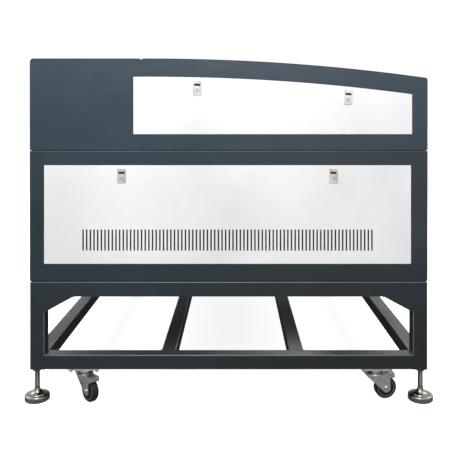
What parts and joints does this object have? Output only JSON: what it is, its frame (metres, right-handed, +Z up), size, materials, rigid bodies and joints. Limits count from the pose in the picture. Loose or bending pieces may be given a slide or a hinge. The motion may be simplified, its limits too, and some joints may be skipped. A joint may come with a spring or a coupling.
{
  "type": "carbon dioxide laser cutting machine",
  "caption": "Floor-standing carbon dioxide laser cutting machine: slate cabinet and curved hood on a welded tube stand, with white side doors, levelling feet and casters.",
  "frame": {"origin": "middle of the base, on the floor under the feet", "axes": "+X to the operator's right, +Y to the rear, +Z up"},
  "size_m": [1.9003, 1.409, 1.175],
  "materials": {
    "aluminium": "extruded, anodised",
    "belt_rubber": "toothed belt, matte",
    "black_plastic": "fine grained",
    "dark_steel": "blackened steel",
    "glass": "clear glass tube",
    "inner_sheet": "satin grey sheet",
    "latch_zinc": "light grey plated latch",
    "red_plastic": "glossy red",
    "seal_rubber": "matte black seal",
    "slate_paint": "satin powder coat, slate blue-grey",
    "stand_paint": "satin powder coat, dark grey",
    "tyre": "dark rubber tyre",
    "white_paint": "smooth white powder coat",
    "window": "smoked amber acrylic",
    "zinc": "bright zinc plate"
  },
  "bodies": {
    "machine": {"stand_legs": "stand_paint", "stand_end_rails": "stand_paint", "stand_long_rails": "stand_paint", "foot_nuts": "dark_steel", "caster_plates": "zinc", "seam_seals": "seal_rubber", "cabinet_end_left": "slate_paint", "cabinet_end_right": "slate_paint", "cabinet_front": "slate_paint", "cabinet_rear": "slate_paint", "cabinet_floor": "inner_sheet", "exhaust_spigots": "zinc", "hood_side_left": "slate_paint", "hood_side_right": "slate_paint", "hood_front": "slate_paint", "hood_rear": "slate_paint", "hinge_beam": "inner_sheet", "control_deck": "slate_paint", "chamber_walls": "inner_sheet", "cutting_table": "aluminium", "laser_tube": "glass", "tube_mounts": "inner_sheet", "belt_drive": "belt_rubber", "electrics": "inner_sheet", "control_panel": "black_plastic"},
    "foot_front_left": {"foot_front_left": "zinc"},
    "fork_front_left": {"fork_front_left": "zinc"},
    "wheel_front_left": {"wheel_front_left": "tyre"},
    "foot_front_right": {"foot_front_right": "zinc"},
    "fork_front_right": {"fork_front_right": "zinc"},
    "wheel_front_right": {"wheel_front_right": "tyre"},
    "foot_rear_left": {"foot_rear_left": "zinc"},
    "fork_rear_left": {"fork_rear_left": "zinc"},
    "wheel_rear_left": {"wheel_rear_left": "tyre"},
    "foot_rear_right": {"foot_rear_right": "zinc"},
    "fork_rear_right": {"fork_rear_right": "zinc"},
    "wheel_rear_right": {"wheel_rear_right": "tyre"},
    "lid": {"lid": "slate_paint", "lid_window": "window"},
    "left_strut_cylinder": {"left_strut_cylinder": "black_plastic"},
    "left_strut_rod": {"left_strut_rod": "zinc"},
    "right_strut_cylinder": {"right_strut_cylinder": "black_plastic"},
    "right_strut_rod": {"right_strut_rod": "zinc"},
    "tube_cover": {"tube_cover": "slate_paint"},
    "upper_side_door": {"upper_side_door": "white_paint", "upper_latch_plates": "latch_zinc"},
    "lower_side_door": {"lower_side_door": "white_paint", "lower_latch_plates": "latch_zinc"},
    "right_side_door": {"right_side_door": "white_paint"},
    "front_door": {"front_door": "white_paint"},
    "paddle_upper_front": {"paddle_upper_front": "latch_zinc"},
    "paddle_upper_rear": {"paddle_upper_rear": "latch_zinc"},
    "paddle_lower_front": {"paddle_lower_front": "latch_zinc"},
    "paddle_lower_rear": {"paddle_lower_rear": "latch_zinc"},
    "gantry": {"gantry_beam": "aluminium"},
    "carriage": {"carriage": "aluminium"},
    "lens_tube": {"lens_tube": "zinc"},
    "drive_shaft": {"drive_shaft": "zinc"},
    "e_stop_button": {"e_stop_button": "red_plastic"},
    "key_switch": {"key_switch": "zinc"}
  },
  "joints": [
    {"name": "level_front_left", "type": "slide", "parent": "machine", "child": "foot_front_left", "axis": [0, 0, -1], "range_m": [-0.02, 0.02]},
    {"name": "swivel_front_left", "type": "hinge", "parent": "machine", "child": "fork_front_left", "pos_m": [-0.9, -0.507, 0.091], "axis": [0, 0, 1], "continuous": true},
    {"name": "roll_front_left", "type": "hinge", "parent": "fork_front_left", "child": "wheel_front_left", "pos_m": [-0.89527, -0.54067, 0.042], "axis": [0.9903, 0.1392, 0], "continuous": true},
    {"name": "level_front_right", "type": "slide", "parent": "machine", "child": "foot_front_right", "axis": [0, 0, -1], "range_m": [-0.02, 0.02]},
    {"name": "swivel_front_right", "type": "hinge", "parent": "machine", "child": "fork_front_right", "pos_m": [0.9, -0.507, 0.091], "axis": [0, 0, 1], "continuous": true},
    {"name": "roll_front_right", "type": "hinge", "parent": "fork_front_right", "child": "wheel_front_right", "pos_m": [0.8805, -0.53485, 0.042], "axis": [0.8192, -0.5736, 0], "continuous": true},
    {"name": "level_rear_left", "type": "slide", "parent": "machine", "child": "foot_rear_left", "axis": [0, 0, -1], "range_m": [-0.02, 0.02]},
    {"name": "swivel_rear_left", "type": "hinge", "parent": "machine", "child": "fork_rear_left", "pos_m": [-0.9, 0.497, 0.091], "axis": [0, 0, 1], "continuous": true},
    {"name": "roll_rear_left", "type": "hinge", "parent": "fork_rear_left", "child": "wheel_rear_left", "pos_m": [-0.92446, 0.47338, 0.042], "axis": [0.6947, -0.7193, 0], "continuous": true},
    {"name": "level_rear_right", "type": "slide", "parent": "machine", "child": "foot_rear_right", "axis": [0, 0, -1], "range_m": [-0.02, 0.02]},
    {"name": "swivel_rear_right", "type": "hinge", "parent": "machine", "child": "fork_rear_right", "pos_m": [0.9, 0.497, 0.091], "axis": [0, 0, 1], "continuous": true},
    {"name": "roll_rear_right", "type": "hinge", "parent": "fork_rear_right", "child": "wheel_rear_right", "pos_m": [0.883, 0.52645, 0.042], "axis": [-0.866, -0.5, 0], "continuous": true},
    {"name": "lid_hinge", "type": "hinge", "parent": "machine", "child": "lid", "pos_m": [0, 0.3, 1.171], "axis": [-1, 0, 0], "range_deg": [0, 60]},
    {"name": "left_strut_swing", "type": "hinge", "parent": "machine", "child": "left_strut_cylinder", "pos_m": [-0.901, 0.4, 0.93], "axis": [-1, 0, 0], "range_deg": [0, 32]},
    {"name": "left_strut_slide", "type": "slide", "parent": "left_strut_cylinder", "child": "left_strut_rod", "axis": [0, -0.8521, 0.5234], "range_m": [0, 0.11]},
    {"name": "right_strut_swing", "type": "hinge", "parent": "machine", "child": "right_strut_cylinder", "pos_m": [0.611, 0.4, 0.93], "axis": [-1, 0, 0], "range_deg": [0, 32]},
    {"name": "right_strut_slide", "type": "slide", "parent": "right_strut_cylinder", "child": "right_strut_rod", "axis": [0, -0.8521, 0.5234], "range_m": [0, 0.11]},
    {"name": "tube_cover_hinge", "type": "hinge", "parent": "machine", "child": "tube_cover", "pos_m": [0, 0.685, 1.163], "axis": [-1, 0, 0], "range_deg": [0, 90]},
    {"name": "upper_side_door_hinge", "type": "hinge", "parent": "machine", "child": "upper_side_door", "pos_m": [-0.921, -0.1505, 0.924], "axis": [0, -1, 0], "range_deg": [0, 90]},
    {"name": "lower_side_door_hinge", "type": "hinge", "parent": "machine", "child": "lower_side_door", "pos_m": [-0.921, 0.004, 0.481], "axis": [0, -1, 0], "range_deg": [0, 90]},
    {"name": "right_side_door_hinge", "type": "hinge", "parent": "machine", "child": "right_side_door", "pos_m": [0.921, 0.004, 0.481], "axis": [0, 1, 0], "range_deg": [0, 90]},
    {"name": "front_door_hinge", "type": "hinge", "parent": "machine", "child": "front_door", "pos_m": [0, -0.676, 0.481], "axis": [1, 0, 0], "range_deg": [0, 90]},
    {"name": "paddle_upper_front_pull", "type": "hinge", "parent": "upper_side_door", "child": "paddle_upper_front", "pos_m": [-0.9265, -0.40748, 1.02808], "axis": [0, -0.9976, -0.0698], "range_deg": [0, 35], "stiffness_Nm_per_rad": 0.05},
    {"name": "paddle_upper_rear_pull", "type": "hinge", "parent": "upper_side_door", "child": "paddle_upper_rear", "pos_m": [-0.9265, 0.10776, 1.05996], "axis": [0, -0.9998, -0.0175], "range_deg": [0, 35], "stiffness_Nm_per_rad": 0.05},
    {"name": "paddle_lower_front_pull", "type": "hinge", "parent": "lower_side_door", "child": "paddle_lower_front", "pos_m": [-0.9265, -0.358, 0.7594], "axis": [0, -1, 0], "range_deg": [0, 35], "stiffness_Nm_per_rad": 0.05},
    {"name": "paddle_lower_rear_pull", "type": "hinge", "parent": "lower_side_door", "child": "paddle_lower_rear", "pos_m": [-0.9265, 0.366, 0.7594], "axis": [0, -1, 0], "range_deg": [0, 35], "stiffness_Nm_per_rad": 0.05},
    {"name": "gantry_slide", "type": "slide", "parent": "machine", "child": "gantry", "axis": [0, -1, 0], "range_m": [0, 0.9]},
    {"name": "carriage_slide", "type": "slide", "parent": "gantry", "child": "carriage", "axis": [-1, 0, 0], "range_m": [0, 1.19]},
    {"name": "lens_focus", "type": "slide", "parent": "carriage", "child": "lens_tube", "axis": [0, 0, -1], "range_m": [-0.003, 0.012]},
    {"name": "drive_shaft_spin", "type": "hinge", "parent": "machine", "child": "drive_shaft", "pos_m": [0, 0.425, 0.95], "axis": [1, 0, 0], "continuous": true},
    {"name": "e_stop_push", "type": "slide", "parent": "machine", "child": "e_stop_button", "axis": [0, 0.1206, -0.9927], "range_m": [0, 0.004], "stiffness_N_per_m": 1500},
    {"name": "key_turn", "type": "hinge", "parent": "machine", "child": "key_switch", "pos_m": [0.715, -0.55, 1.12538], "axis": [0, -0.1206, 0.9927], "range_deg": [0, 90]}
  ],
  "couplings": [
    {"joint": "left_strut_swing", "follows": "lid_hinge", "ratio": 0.48879},
    {"joint": "left_strut_slide", "follows": "lid_hinge", "m_per_rad": 0.093595},
    {"joint": "right_strut_swing", "follows": "lid_hinge", "ratio": 0.48879},
    {"joint": "right_strut_slide", "follows": "lid_hinge", "m_per_rad": 0.093595},
    {"joint": "drive_shaft_spin", "follows": "gantry_slide", "rad_per_m": 65.359}
  ]
}
